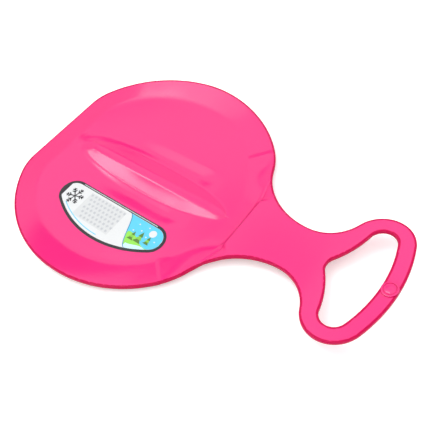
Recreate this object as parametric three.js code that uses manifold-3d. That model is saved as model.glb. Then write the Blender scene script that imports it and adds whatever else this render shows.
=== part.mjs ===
// One-piece plastic snow slider: a round seat plate with a raised rim, a ridge
// between two runner channels, a neck and a loop handle, with a sticker on the seat.
// Millimetres, +Z up. The rear edge is at the -X end, the handle at the +X end.
// The ground is z = 0, under the flat soles of the two runner channels.
import * as THREE from "three";
import { mergeVertices } from "three/addons/utils/BufferGeometryUtils.js";
import Module from "manifold-3d";

const wasm = await Module();
wasm.setup();

// Plate outline: a circle, cut straight at the rear with eased quarters and corners.
const plate_radius = 189.4;
const rear_cut = 21;
const rear_corner_radius = 70;
const quarter_ease = 23.4;
const quarter_start_degrees = 124.7;

// Neck outline: a shoulder leaves the plate and runs into the hollow waist.
const shoulder_radius = 95.3;
const shoulder_start_degrees = 40.9;
const waist_half_width = 33.7;
const waist_radius = 101.85;
const waist_to_end = 137.7;

// Handle outline: two round lobes joined by a flatter end bar.
const lobe_from_end = 48.8;
const lobe_half_spacing = 52;
const lobe_radius = 39.8;

// Handle opening: a rounded triangle with its apex to the neck.
const end_bar_width = 21.1;
const side_bar_width = 22.7;
const opening_lobe_from_end = 48;
const opening_lobe_half_spacing = 54.9;
const opening_apex_from_end = 90;
const opening_apex_radius = 16.3;
const opening_side_radius = 125.4;

// Moulding: the sheet, its turned-down edge and the rounding of that edge.
const sheet_thickness = 2.6;
const edge_depth = 5;
const edge_lip_width = 3;
const edge_round = 1.2;

// Rim of the plate: conical, with a soft foot, lower towards the front, and all but
// gone in the middle of the front, where the step up to the neck takes its place.
const rim_width_side = 41;
const rim_width_rear = 26.5;
const rim_foot_share = 0.15;
const rim_height_side = 10.2;
const rim_height_front = 5.6;
const rim_fall_before_centre = 18.4;
const rim_fall_length = 130;
const rim_rise_before_step = 33.6;
const rim_rise_length = 50;
const rim_narrow_start_degrees = 92;
const rim_narrow_end_degrees = 155;
const rim_front_share = 0.1;
const rim_front_half = 30;
const rim_front_fade = 50;

// The steep step from the seat up to the neck, bowed at both ends.
const step_from_floor = 21.7;
const step_run = 7.5;
const step_foot_bow = 6;
const step_foot_half = 74;
const step_top_half = 38;
const step_top_bow = 9;
const step_top_bow_length = 12;
const step_bend_share = 1.3;

// Side view of the neck and handle: a gentle slope, a bend and a steeper slope.
const neck_height = 10.9;
const neck_slope_share = 0.05;
const handle_slope_share = 0.175;
const bend_from_waist = 17.7;
const bend_length = 44;

// Ridge along the middle of the seat. Its crest falls towards the front and is a
// shallow groove between two edges. A soft swell carries it towards the rear.
const ridge_height = 4.4;
const ridge_top_half = 6;
const ridge_half_width = 26.5;
const ridge_rear_x = 45;
const ridge_front_gap = 0.9;
const ridge_fullness_share = 0.5;
const ridge_foot_share = 0.8;
const ridge_front_share = 0.75;
const ridge_fall_gap = 145;
const ridge_fall_length = 110;
const ridge_root_length = 25;
const ridge_tip_length = 14;
const crest_groove_depth = 0.3;
const swell_height = 1.4;
const swell_before_ridge = 35;
const swell_rise_length = 40;
const swell_fade_gap = 70;
const swell_fade_length = 70;
const swell_inside = 3;
const swell_flank = 14;

// Runner channels on both sides of the ridge: flat soles are their undersides.
const channel_depth = 2.6;
const sole_inner_gap = 9;
const sole_width = 5;
const channel_wall_width = 17;
const channel_wall_ease_share = 0.3;
const channel_rear_x = 60;
const channel_rear_length = 120;
const channel_front_gap = 36.9;
const channel_front_length = 25;

// Round medallion moulded on the end bar of the handle.
const medallion_radius = 10.3;
const medallion_height = 1.5;
const medallion_edge_round = 0.5;
const medallion_dome_radius = 7.4;
const medallion_dome_height = 1;
const medallion_root = 1.2;

// Sticker on the flat floor of the seat: a D with its straight side to the ridge.
const label_past_centre = 7.6;
const label_end_gap = 19.7;
const label_channel_gap = 1.5;
const label_floor_gap = 23.4;
const label_corner_share = 1 / 3;
const label_thickness = 0.3;
const label_gap = 0.3;

// How finely curves are divided, and how far cutters run past what they cut.
const chord_height = 0.15;
const trim_margin = 4;
const column_step = 1.5;

const pink = 0xfd2c80;
const label_white = 0xf2f2ee;

const floor_height = channel_depth + sheet_thickness;

function smooth(t) {
  const v = Math.min(1, Math.max(0, t));
  return v * v * (3 - 2 * v);
}

// Centre of a circle at distance p_far from point p and q_far from point q.
function meet(p, p_far, q, q_far, side) {
  const dx = q.x - p.x;
  const dy = q.y - p.y;
  const d = Math.hypot(dx, dy);
  const along = (p_far * p_far - q_far * q_far + d * d) / (2 * d);
  const across = Math.sqrt(p_far * p_far - along * along) * side;
  return new THREE.Vector2(
    p.x + (dx * along - dy * across) / d,
    p.y + (dy * along + dx * across) / d,
  );
}

function bearing(from, to) {
  return Math.atan2(to.y - from.y, to.x - from.x);
}

function polar(from, distance, degrees) {
  const a = THREE.MathUtils.degToRad(degrees);
  return new THREE.Vector2(from.x + distance * Math.cos(a), from.y + distance * Math.sin(a));
}

// Centres of the arcs of the outline, for the half with y above zero.
const plate = new THREE.Vector2(plate_radius - rear_cut, 0);
const quarter_radius = plate_radius - quarter_ease;
const quarter = polar(plate, quarter_ease, quarter_start_degrees);
const corner_reach = quarter_radius - rear_corner_radius;
const corner_run = quarter.x - rear_corner_radius;
const corner = new THREE.Vector2(
  rear_corner_radius,
  quarter.y + Math.sqrt(corner_reach ** 2 - corner_run ** 2),
);
const shoulder = polar(plate, plate_radius - shoulder_radius, shoulder_start_degrees);
const waist_y = waist_half_width + waist_radius;
const waist_reach = shoulder_radius + waist_radius;
const waist_x = shoulder.x + Math.sqrt(waist_reach ** 2 - (waist_y - shoulder.y) ** 2);
const waist = new THREE.Vector2(waist_x, waist_y);
const overall_length = waist_x + waist_to_end;
const lobe = new THREE.Vector2(overall_length - lobe_from_end, lobe_half_spacing);
const lobe_run = lobe.x - waist_x;
const lobe_rise = lobe.y - waist_half_width;
const throat_radius =
  (lobe_run ** 2 + lobe_rise ** 2 - lobe_radius ** 2) / (2 * (lobe_radius + lobe_rise));
const throat = new THREE.Vector2(waist_x, waist_half_width + throat_radius);
const end_radius =
  (lobe_radius ** 2 - lobe_from_end ** 2 - lobe.y ** 2) / (2 * (lobe_radius - lobe_from_end));
const end = new THREE.Vector2(overall_length - end_radius, 0);

// Centres of the arcs of the handle opening.
const opening_front_x = overall_length - end_bar_width;
const opening_lobe_radius = lobe_radius - side_bar_width;
const opening_lobe = new THREE.Vector2(
  overall_length - opening_lobe_from_end,
  opening_lobe_half_spacing,
);
const front_run = opening_front_x - opening_lobe.x;
const front_radius =
  (opening_lobe_radius ** 2 - front_run ** 2 - opening_lobe.y ** 2) /
  (2 * (opening_lobe_radius - front_run));
const front = new THREE.Vector2(opening_front_x - front_radius, 0);
const apex = new THREE.Vector2(
  overall_length - opening_apex_from_end + opening_apex_radius,
  0,
);
const side = meet(
  apex,
  opening_side_radius + opening_apex_radius,
  opening_lobe,
  opening_side_radius + opening_lobe_radius,
  1,
);

// Each arc: centre, radius, start and end bearing. A negative bulge is hollow.
const outline_arcs = [
  { c: end, r: end_radius, bulge: 1, from: 0, to: bearing(end, lobe) },
  { c: lobe, r: lobe_radius, bulge: 1, from: bearing(end, lobe), to: bearing(lobe, throat) },
  { c: throat, r: throat_radius, bulge: -1, from: bearing(throat, lobe), to: -Math.PI / 2 },
  { c: waist, r: waist_radius, bulge: -1, from: -Math.PI / 2, to: bearing(waist, shoulder) },
  {
    c: shoulder,
    r: shoulder_radius,
    bulge: 1,
    from: bearing(shoulder, waist),
    to: bearing(plate, shoulder),
  },
  {
    c: plate,
    r: plate_radius,
    bulge: 1,
    from: bearing(plate, shoulder),
    to: bearing(plate, quarter),
  },
  {
    c: quarter,
    r: quarter_radius,
    bulge: 1,
    from: bearing(plate, quarter),
    to: bearing(quarter, corner),
  },
  {
    c: corner,
    r: rear_corner_radius,
    bulge: 1,
    from: bearing(quarter, corner),
    to: Math.PI,
  },
];
const opening_arcs = [
  { c: front, r: front_radius, bulge: 1, from: 0, to: bearing(front, opening_lobe) },
  {
    c: opening_lobe,
    r: opening_lobe_radius,
    bulge: 1,
    from: bearing(front, opening_lobe),
    to: bearing(opening_lobe, side),
  },
  {
    c: side,
    r: opening_side_radius,
    bulge: -1,
    from: bearing(side, opening_lobe),
    to: bearing(side, apex),
  },
  { c: apex, r: opening_apex_radius, bulge: 1, from: bearing(apex, side), to: Math.PI },
];

// A closed run of points along the arcs and their mirror image. A positive
// shrink moves it towards the centres of the bulging arcs.
function traceArcs(arcs, shrink) {
  const half = [];
  for (const arc of arcs) {
    const turn = arc.to - arc.from;
    const step = 2 * Math.acos(1 - chord_height / arc.r);
    const count = Math.max(2, Math.ceil(Math.abs(turn) / step));
    const r = arc.r - shrink * arc.bulge;
    for (let i = half.length ? 1 : 0; i <= count; i += 1) {
      const a = arc.from + (turn * i) / count;
      half.push(new THREE.Vector2(arc.c.x + r * Math.cos(a), arc.c.y + r * Math.sin(a)));
    }
  }
  half[0].y = 0;
  const last = half[half.length - 1];
  const closed = Math.abs(last.y) < chord_height;
  if (closed) {
    last.y = 0;
  }
  const mirror = half.slice(1, closed ? -1 : half.length);
  return half.concat(mirror.reverse().map((p) => new THREE.Vector2(p.x, -p.y)));
}

// Half width of the outline across the plate and the start of the neck.
function outlineHalf(x) {
  for (const arc of outline_arcs.slice(3)) {
    const a = arc.c.x + arc.r * Math.cos(arc.from);
    const b = arc.c.x + arc.r * Math.cos(arc.to);
    if (x <= a && x > b) {
      return arc.c.y + arc.bulge * Math.sqrt(arc.r ** 2 - (x - arc.c.x) ** 2);
    }
  }
  return x > 0 ? waist_half_width : corner.y;
}

// Places along the slider that follow from the outline.
const floor_radius = plate_radius - rim_width_side;
const floor_front_x = plate.x + floor_radius;
const step_foot_x = floor_front_x + step_from_floor;
const step_top_x = step_foot_x + step_run;
const bend_start_x = waist_x + bend_from_waist;
const rim_fall_x = plate.x - rim_fall_before_centre;
const rim_rise_x = step_foot_x - rim_rise_before_step;
const ridge_front_x = floor_front_x - ridge_front_gap;
const channel_front_x = floor_front_x - channel_front_gap;
const sole_inner_y = ridge_half_width + sole_inner_gap;
const sole_outer_y = sole_inner_y + sole_width;
const channel_outer_y = sole_outer_y + channel_wall_width;
const label_straight_y = channel_outer_y + label_channel_gap;
const label_depth = floor_radius - label_straight_y - label_floor_gap;
const label_corner_radius = label_depth * label_corner_share;
const label_end_y = label_straight_y + label_corner_radius;
const label_reach = Math.sqrt(floor_radius ** 2 - label_end_y ** 2) - label_end_gap;
const label_half_width = label_reach - label_past_centre;
const ridge_root_x = ridge_rear_x + ridge_root_length;
const ridge_fall_x = ridge_rear_x + ridge_fall_gap;
const swell_rear_x = ridge_rear_x - swell_before_ridge;
const swell_fade_x = ridge_rear_x + swell_fade_gap;

// Share of the rim climbed at a place: 0 at its foot, 1 at the edge.
function rimShare(x, y) {
  const p = new THREE.Vector2(x, Math.abs(y));
  let inside = x;
  let turn = Math.PI;
  if (bearing(plate, p) <= bearing(plate, quarter)) {
    inside = plate_radius - p.distanceTo(plate);
    turn = bearing(plate, p);
  } else if (p.y > quarter.y && bearing(quarter, p) <= bearing(quarter, corner)) {
    inside = quarter_radius - p.distanceTo(quarter);
    turn = bearing(quarter, p);
  } else if (p.y > corner.y && p.x < corner.x) {
    inside = rear_corner_radius - p.distanceTo(corner);
    turn = bearing(corner, p);
  }
  const fade = THREE.MathUtils.degToRad(rim_narrow_end_degrees - rim_narrow_start_degrees);
  const start = THREE.MathUtils.degToRad(rim_narrow_start_degrees);
  const narrow = smooth((turn - start) / fade);
  return 1 - inside / THREE.MathUtils.lerp(rim_width_side, rim_width_rear, narrow);
}

// Climb of the rim from its soft foot to the straight cone.
function rimClimb(share) {
  if (share <= 0) {
    return 0;
  }
  const soft = rim_foot_share / 2;
  const climb =
    share < rim_foot_share ? (share * share) / (2 * rim_foot_share) : share - soft;
  return climb / (1 - soft);
}

function neckHeight(x) {
  const past = x - bend_start_x;
  const first = neck_height + (x - step_top_x) * neck_slope_share;
  const gain = handle_slope_share - neck_slope_share;
  const bent = Math.min(bend_length, Math.max(0, past));
  return first + (gain * bent * bent) / (2 * bend_length) + gain * Math.max(0, past - bend_length);
}

function rimHeight(x, y) {
  const fall = smooth((x - rim_fall_x) / rim_fall_length);
  const rise = smooth((x - rim_rise_x) / rim_rise_length);
  const height =
    rim_height_side +
    (rim_height_front - rim_height_side) * fall +
    (neck_height - rim_height_front) * rise;
  const aside = x > plate.x ? smooth((y - rim_front_half) / rim_front_fade) : 1;
  return height * THREE.MathUtils.lerp(rim_front_share, 1, aside);
}

function ridgeHalf(x) {
  const middle = (ridge_rear_x + ridge_front_x) / 2;
  const u = (x - middle) / (ridge_front_x - middle);
  return u * u >= 1 ? 0 : ridge_half_width * (1 - u * u) ** ridge_fullness_share;
}

function ridgeTop(x) {
  return Math.min(ridge_top_half, ridgeHalf(x) / 2);
}

// Floor of the runner channels on both sides of the ridge.
function channelFloor(x, y) {
  const open = smooth((x - channel_rear_x) / channel_rear_length);
  const shut = smooth((channel_front_x - x) / channel_front_length);
  const depth = channel_depth * open * shut;
  if (y < sole_inner_y) {
    return (-depth * y) / sole_inner_y;
  }
  const wall = Math.min(1, Math.max(0, (y - sole_outer_y) / channel_wall_width));
  return -depth * (1 - THREE.MathUtils.lerp(wall, smooth(wall), channel_wall_ease_share));
}

// Where the flank of the swell starts on one side of the ridge.
function swellInner(x) {
  return Math.max(0, ridgeHalf(x) - swell_inside);
}

function swellHeight(x, y) {
  const rise = smooth((x - swell_rear_x) / swell_rise_length);
  const fade = 1 - smooth((x - swell_fade_x) / swell_fade_length);
  return swell_height * rise * fade * (1 - smooth((y - swellInner(x)) / swell_flank));
}

function ridgeHeight(x, y) {
  const half = ridgeHalf(x);
  const soft = channelFloor(x, y) + swellHeight(x, y);
  if (y >= half) {
    return soft;
  }
  const tip = smooth((ridge_front_x - x) / ridge_tip_length);
  const root = smooth((x - ridge_rear_x) / ridge_root_length);
  const fall = smooth((x - ridge_fall_x) / ridge_fall_length);
  const top = ridge_height * tip * root * THREE.MathUtils.lerp(1, ridge_front_share, fall);
  const foot = channelFloor(x, half) + swellHeight(x, half);
  const part = Math.min(1, (half - y) / (half - ridgeTop(x)));
  const climb = THREE.MathUtils.lerp(part ** 3, part, ridge_foot_share);
  const across = Math.min(1, y / ridgeTop(x));
  const groove = crest_groove_depth * tip * root * (1 - across ** 2) ** 2;
  return Math.max(foot + (top - foot) * climb, soft) - groove;
}

// Height of the upper surface above the ground, anywhere on the slider.
function surface(x, y) {
  const away = Math.abs(y);
  const seat = rimHeight(x, away) * rimClimb(rimShare(x, away)) + ridgeHeight(x, away);
  const foot_x = step_foot_x - step_foot_bow * (away / step_foot_half) ** 2;
  const top_x = step_top_x + step_top_bow * smooth((away - step_top_half) / step_top_bow_length);
  const share = Math.min(1, Math.max(0, (x - foot_x) / (top_x - foot_x)));
  const neck = neckHeight(x);
  return floor_height + seat + (neck - seat) * share ** step_bend_share;
}

function toSolid(geometry) {
  const bare = geometry.clone();
  for (const name of ["normal", "uv"]) {
    bare.deleteAttribute(name);
  }
  const merged = mergeVertices(bare);
  const mesh = new wasm.Mesh({
    numProp: 3,
    vertProperties: Float32Array.from(merged.attributes.position.array),
    triVerts: Uint32Array.from(merged.index.array),
  });
  return new wasm.Manifold(mesh);
}

function toGeometry(solid) {
  const mesh = solid.getMesh();
  const geometry = new THREE.BufferGeometry();
  geometry.setAttribute("position", new THREE.Float32BufferAttribute(mesh.vertProperties, 3));
  geometry.setIndex(new THREE.Uint32BufferAttribute(mesh.triVerts, 1));
  return geometry;
}

// A slab that follows the surface between two depths under it, from rows of
// points across the slider, one row for each station along it.
function slab(stations, columns, upper, lower) {
  const points = [];
  const faces = [];
  const rows = stations.map((x) => columns(x));
  const wide = rows[0].length;
  for (const depth of [upper, lower]) {
    stations.forEach((x, i) => {
      rows[i].forEach((y) => points.push(x, y, surface(x, y) - depth));
    });
  }
  const at = (layer, i, j) => (layer * stations.length + i) * wide + j;
  const quad = (a, b, c, d) => faces.push(a, b, c, a, c, d);
  const far = stations.length - 1;
  const edge = wide - 1;
  for (let i = 0; i < far; i += 1) {
    for (let j = 0; j < edge; j += 1) {
      quad(at(0, i, j), at(0, i + 1, j), at(0, i + 1, j + 1), at(0, i, j + 1));
      quad(at(1, i, j), at(1, i, j + 1), at(1, i + 1, j + 1), at(1, i + 1, j));
    }
    quad(at(1, i, 0), at(1, i + 1, 0), at(0, i + 1, 0), at(0, i, 0));
    quad(at(0, i, edge), at(0, i + 1, edge), at(1, i + 1, edge), at(1, i, edge));
  }
  for (let j = 0; j < edge; j += 1) {
    quad(at(0, 0, j), at(0, 0, j + 1), at(1, 0, j + 1), at(1, 0, j));
    quad(at(1, far, j), at(1, far, j + 1), at(0, far, j + 1), at(0, far, j));
  }
  const geometry = new THREE.BufferGeometry();
  geometry.setAttribute("position", new THREE.Float32BufferAttribute(points, 3));
  geometry.setIndex(faces);
  return toSolid(geometry);
}

// A plug lofted through rings of the outline, each with its own shrink and
// height, and with the handle opening left out of it.
function plug(rings) {
  const points = [];
  const faces = [];
  const loops = rings.map((ring) => {
    const outer = traceArcs(outline_arcs, ring.shrink);
    const inner = traceArcs(opening_arcs, -ring.shrink).reverse();
    const start = points.length / 3;
    for (const p of outer.concat(inner)) {
      points.push(p.x, p.y, ring.height(p));
    }
    return { outer, inner, start };
  });
  for (let k = 0; k + 1 < loops.length; k += 1) {
    const low = loops[k];
    const high = loops[k + 1];
    let offset = 0;
    for (const loop of [low.outer, low.inner]) {
      for (let i = 0; i < loop.length; i += 1) {
        const a = offset + i;
        const b = offset + ((i + 1) % loop.length);
        faces.push(low.start + a, low.start + b, high.start + b);
        faces.push(low.start + a, high.start + b, high.start + a);
      }
      offset += loop.length;
    }
  }
  const caps = [loops[0], loops[loops.length - 1]];
  caps.forEach((loop, k) => {
    for (const [a, b, c] of THREE.ShapeUtils.triangulateShape(loop.outer, [loop.inner])) {
      const corners = k ? [a, b, c] : [c, b, a];
      faces.push(...corners.map((v) => v + loop.start));
    }
  });
  const geometry = new THREE.BufferGeometry();
  geometry.setAttribute("position", new THREE.Float32BufferAttribute(points, 3));
  geometry.setIndex(faces);
  return toSolid(geometry);
}

// Stations along the plate, closer together where the form bends.
function span(from, to, count) {
  return Array.from({ length: count }, (_, i) => from + ((to - from) * i) / count);
}

const handle_start_x = step_top_x + step_top_bow + 2 * trim_margin;
const channel_full_x = channel_rear_x + channel_rear_length;
const channel_shut_x = channel_front_x - channel_front_length;
const plate_stations = [
  -trim_margin,
  ...span(0, rim_width_rear, 6),
  ...span(rim_width_rear, ridge_rear_x, 3),
  ...span(ridge_rear_x, ridge_root_x, 3),
  ...span(ridge_root_x, channel_full_x, 7),
  ...span(channel_full_x, channel_shut_x, 4),
  ...span(channel_shut_x, channel_front_x, 4),
  ...span(channel_front_x, ridge_front_x, 6),
  ...span(ridge_front_x, step_foot_x, 4),
  ...span(step_foot_x, step_top_x, 5),
  ...span(step_top_x, handle_start_x, 4),
  handle_start_x,
];

// Places across the plate at one station, from the middle out to past the edge.
function plateColumns(x) {
  const half = ridgeHalf(x);
  const top = ridgeTop(x);
  const near = [-trim_margin, 0, trim_margin].map((shift) => outlineHalf(Math.max(0, x + shift)));
  const out = Math.max(...near);
  const ridge = [0, top, top + (half - top) / 3, top + ((half - top) * 2) / 3, half];
  const flank_shares = [1 / 2, 3 / 4, 1];
  const flank = flank_shares.map((share) => swellInner(x) + swell_flank * share);
  const channel_middle = (sole_outer_y + channel_outer_y) / 2;
  const channel = [sole_inner_y, sole_outer_y, channel_middle, channel_outer_y];
  const inner_end = channel_outer_y + column_step;
  let foot = inner_end;
  const floor_steps = 60;
  for (let i = 0; i <= floor_steps; i += 1) {
    const y = (out * i) / floor_steps;
    if (rimShare(x, y) <= 0) {
      foot = Math.max(foot, y);
    }
  }
  const rim_steps = [0, rim_foot_share / 2, rim_foot_share, (1 + rim_foot_share) / 2];
  const reach = Math.max(out, foot + column_step);
  const rim = rim_steps.map((share) => foot + (reach - foot) * share);
  const middle = (channel_outer_y + foot) / 2;
  const row = [...ridge, ...flank, ...channel, middle, ...rim, reach + trim_margin];
  for (let i = 1; i < row.length; i += 1) {
    row[i] = Math.max(row[i], row[i - 1] + column_step / 2);
  }
  return [...row.slice(1).reverse().map((y) => -y), ...row];
}

const handle_stations = [
  ...span(handle_start_x, bend_start_x, 2),
  ...span(bend_start_x, bend_start_x + bend_length, 6),
  bend_start_x + bend_length,
  overall_length + trim_margin,
];
const handle_reach = lobe_half_spacing + lobe_radius + trim_margin;
const handleColumns = () => [-handle_reach, 0, handle_reach];

function body(upper, lower) {
  const plate_slab = slab(plate_stations, plateColumns, upper, lower);
  const handle_slab = slab(handle_stations, handleColumns, upper, lower);
  return plate_slab.add(handle_slab);
}

// The outer shape has a rounded upper edge: the plug leans in over the surface.
const depth_below = floor_height + neck_height;
const round_corner = edge_round * (1 - Math.SQRT1_2);
const lean_in = 2 * edge_round;
const lean_up = lean_in * (Math.SQRT2 - 1);
const top_above = 2 * (floor_height + neckHeight(overall_length));
const onSurface = (drop) => (p) => surface(p.x, p.y) - drop;
const clear_in = round_corner + lean_in + edge_round;
const outer_plug = plug([
  { shrink: 0, height: () => -depth_below },
  { shrink: 0, height: onSurface(edge_round) },
  { shrink: round_corner, height: onSurface(round_corner) },
  { shrink: round_corner + lean_in, height: onSurface(round_corner - lean_up) },
  { shrink: clear_in, height: onSurface(round_corner - lean_up - edge_depth) },
  { shrink: clear_in, height: () => top_above },
]);
const inner_plug = plug([
  { shrink: edge_lip_width, height: () => -depth_below },
  { shrink: edge_lip_width, height: () => top_above },
]);
const shell = body(0, edge_depth).intersect(outer_plug);
const hollow = body(sheet_thickness, sheet_thickness + edge_depth).intersect(inner_plug);

// Medallion: a low disc with a domed middle, sunk a little into the end bar.
const medallion_profile = [
  new THREE.Vector2(0, -medallion_root),
  new THREE.Vector2(medallion_radius, -medallion_root),
  new THREE.Vector2(medallion_radius, medallion_height - medallion_edge_round),
  new THREE.Vector2(medallion_radius - medallion_edge_round, medallion_height),
  new THREE.Vector2(medallion_dome_radius, medallion_height),
];
const dome_steps = 5;
for (let i = 1; i <= dome_steps; i += 1) {
  const a = (Math.PI * i) / (2 * dome_steps);
  medallion_profile.push(
    new THREE.Vector2(
      i === dome_steps ? 0 : medallion_dome_radius * Math.cos(a),
      medallion_height + medallion_dome_height * Math.sin(a),
    ),
  );
}
const medallion_x = overall_length - end_bar_width / 2;
const medallion_geometry = new THREE.LatheGeometry(medallion_profile, 40);
medallion_geometry.rotateX(Math.PI / 2);
medallion_geometry.rotateY(-Math.atan(handle_slope_share));
medallion_geometry.translate(medallion_x, 0, surface(medallion_x, 0));
const slider = shell.subtract(hollow).add(toSolid(medallion_geometry));

// Sticker outline: straight side, two round ends and a wide curved side.
const label_wide_radius =
  ((label_half_width - label_corner_radius) ** 2 +
    (label_depth - label_corner_radius) ** 2 -
    label_corner_radius ** 2) /
  (2 * (label_depth - 2 * label_corner_radius));
const label_shape = new THREE.Shape();
const wide_y = -label_straight_y - label_depth + label_wide_radius;
const end_x = label_half_width - label_corner_radius;
const lean = Math.atan2(wide_y + label_end_y, end_x);
label_shape.moveTo(end_x, -label_straight_y);
label_shape.absarc(end_x, -label_end_y, label_corner_radius, Math.PI / 2, -lean, true);
label_shape.absarc(0, wide_y, label_wide_radius, -lean, lean - Math.PI, true);
label_shape.absarc(-end_x, -label_end_y, label_corner_radius, lean - Math.PI, -1.5 * Math.PI, true);
label_shape.closePath();
const label_geometry = new THREE.ExtrudeGeometry(label_shape, {
  depth: label_thickness,
  bevelEnabled: false,
  curveSegments: 24,
});

const part = new THREE.Group();
part.position.x = -overall_length / 2;

const slider_mesh = new THREE.Mesh(
  toGeometry(slider),
  new THREE.MeshStandardMaterial({ color: pink, roughness: 0.22, metalness: 0 }),
);
slider_mesh.name = "slider_body";
part.add(slider_mesh);

const label_mesh = new THREE.Mesh(
  label_geometry,
  new THREE.MeshStandardMaterial({ color: label_white, roughness: 0.35, metalness: 0 }),
);
label_mesh.name = "label";
label_mesh.position.set(plate.x + label_past_centre, 0, floor_height + label_gap);
part.add(label_mesh);

export default part;
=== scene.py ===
import math

import bmesh
import bpy
from bpy.props import FloatProperty, FloatVectorProperty, PointerProperty
from mathutils import Matrix, Vector


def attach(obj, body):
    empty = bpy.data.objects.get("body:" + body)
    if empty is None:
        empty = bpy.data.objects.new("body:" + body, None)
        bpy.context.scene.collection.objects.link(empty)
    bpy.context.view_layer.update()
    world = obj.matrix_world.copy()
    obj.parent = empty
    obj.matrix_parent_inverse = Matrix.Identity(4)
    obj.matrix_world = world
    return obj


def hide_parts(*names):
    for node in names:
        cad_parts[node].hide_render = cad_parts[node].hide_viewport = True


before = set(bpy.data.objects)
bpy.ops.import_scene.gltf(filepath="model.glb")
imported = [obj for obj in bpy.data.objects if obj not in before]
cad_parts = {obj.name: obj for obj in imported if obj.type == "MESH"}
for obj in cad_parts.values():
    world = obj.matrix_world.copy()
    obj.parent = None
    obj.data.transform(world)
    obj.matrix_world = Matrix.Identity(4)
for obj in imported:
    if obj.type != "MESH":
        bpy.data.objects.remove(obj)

bl_info = {
    "name": "Snow slider",
    "version": (1, 0, 0),
    "blender": (4, 5, 0),
    "location": "View3D > Sidebar > Snow slider",
    "description": "Builds a one-piece plastic snow slider, its seat label and its stage",
    "category": "Add Mesh",
}

MM = 0.001


def length(name, text, size):
    """A length that is written here in millimetres."""
    return FloatProperty(name=name, description=text, default=size * MM, unit="LENGTH")


def share(name, text, value):
    return FloatProperty(name=name, description=text, default=value, subtype="FACTOR")


def to_linear(code):
    """The linear colour of an sRGB hex value."""
    parts = [int(code[i : i + 2], 16) / 255 for i in (1, 3, 5)]
    flat = [c / 12.92 if c <= 0.04045 else ((c + 0.055) / 1.055) ** 2.4 for c in parts]
    return (*flat, 1.0)


def dimmed(tone, level):
    """A colour with less light in it."""
    return (*(c * level for c in tone[:3]), 1.0)


def colour(name, text, code):
    return FloatVectorProperty(
        name=name, description=text, default=to_linear(code), size=4, subtype="COLOR"
    )


class SliderOutline(bpy.types.PropertyGroup):
    """Sizes of the slider seen from above."""

    plate_radius: length("Plate radius", "Radius of the round seat plate", 189.4)
    rear_cut: length("Rear cut", "How far the straight rear edge cuts the circle", 21)
    rear_corner_radius: length("Rear corner", "Radius of the rear corners", 70)
    quarter_ease: length("Quarter ease", "How much tighter the rear quarters are", 23.4)
    shoulder_radius: length("Shoulder radius", "Radius where the neck starts", 95.3)
    waist_half_width: length("Waist half width", "Half the neck at its narrowest", 33.7)
    waist_radius: length("Waist radius", "Radius of the hollow neck side", 101.85)
    waist_to_end: length("Waist to end", "From the waist to the end of the handle", 137.7)
    lobe_from_end: length("Lobe place", "Handle lobes, measured from the end", 48.8)
    lobe_half_spacing: length("Lobe spacing", "Half the distance of the lobes", 52)
    lobe_radius: length("Lobe radius", "Outer radius of the handle lobes", 39.8)
    end_bar_width: length("End bar", "Width of the bar at the handle's end", 21.1)
    side_bar_width: length("Side bar", "Width of the bars beside the opening", 22.7)


class SliderForm(bpy.types.PropertyGroup):
    """Heights and forms of the moulding."""

    sheet_thickness: length("Sheet", "Wall thickness of the moulding", 2.6)
    edge_depth: length("Edge depth", "Depth of the turned-down edge", 5)
    edge_lip_width: length("Edge lip", "Width of the turned-down edge", 3)
    edge_round: length("Edge round", "Radius of the upper edge", 1.2)
    rim_height_side: length("Rim height", "Rise of the rim at the sides", 10.2)
    rim_height_front: length("Front rim height", "Rise of the rim at the front", 5.6)
    neck_height: length("Neck height", "Height of the neck over the seat", 10.9)
    ridge_height: length("Ridge height", "Height of the ridge over the seat", 4.4)
    ridge_half_width: length("Ridge half width", "Half width of the ridge", 26.5)
    channel_depth: length("Channel depth", "Depth of the runner channels", 2.6)


class LabelSizes(bpy.types.PropertyGroup):
    """Sizes of the sticker on the seat."""

    thickness: length("Film", "Thickness of the printed film", 0.16)
    border: length("Border", "Width of the dark border", 4.2)


class FinishColours(bpy.types.PropertyGroup):
    """Colours of the plastic and of the printed film."""

    plastic: colour("Plastic", "Pink of the moulding", "#FE2F88")
    # Painted shade: the edge colour stands in for the shade on the walls of the sheet.
    edge: colour("Edge", "Deeper pink of the edges of the sheet", "#CC0250")
    film: colour("Film", "White of the film", "#DADCDD")
    charcoal: colour("Charcoal ink", "Border of the label", "#232228")
    grey: colour("Grey ink", "Fine print pattern", "#B4B7BD")
    sky: colour("Sky ink", "Light blue of the picture", "#58C6E6")
    ice: colour("Ice ink", "Pale blue of the picture", "#C4ECF2")
    leaf: colour("Leaf ink", "Green of the picture", "#8FD84E")
    deep: colour("Deep ink", "Dark blue of the picture", "#2F86B4")


class StageSettings(bpy.types.PropertyGroup):
    """The plain floor, the room and the side screen."""

    floor_size: FloatProperty(
        name="Floor", description="Side of the floor", default=30, unit="LENGTH"
    )
    floor_tone: colour("Floor tone", "White of the floor", "#F4F4F4")
    floor_lift: share("Floor lift", "Added to the floor for the camera", 0.32)
    wall_level: share("Wall level", "Radiance of the room's walls", 0.75)
    door_level: share("Door level", "Radiance of the dark doorway", 0.03)
    ceiling_level: share("Ceiling level", "Radiance of the ceiling", 1.36)
    box_level: share("Soft box level", "Radiance of the soft box over the ceiling", 7.0)
    screen_level: share("Screen level", "Radiance of the side screen", 0.2)


# Smaller sizes of the form, which nobody needs to change. Lengths are in millimetres,
# and shares, slopes and powers have no unit.

# Outline and opening. Both starts are degrees round the centre of the plate.
SHOULDER_START = 40.9
QUARTER_START = 124.7
OPENING_LOBE_FROM_END = 48
OPENING_LOBE_HALF_SPACING = 54.9
OPENING_APEX_FROM_END = 90
OPENING_APEX_RADIUS = 16.3
OPENING_SIDE_RADIUS = 125.4

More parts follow.
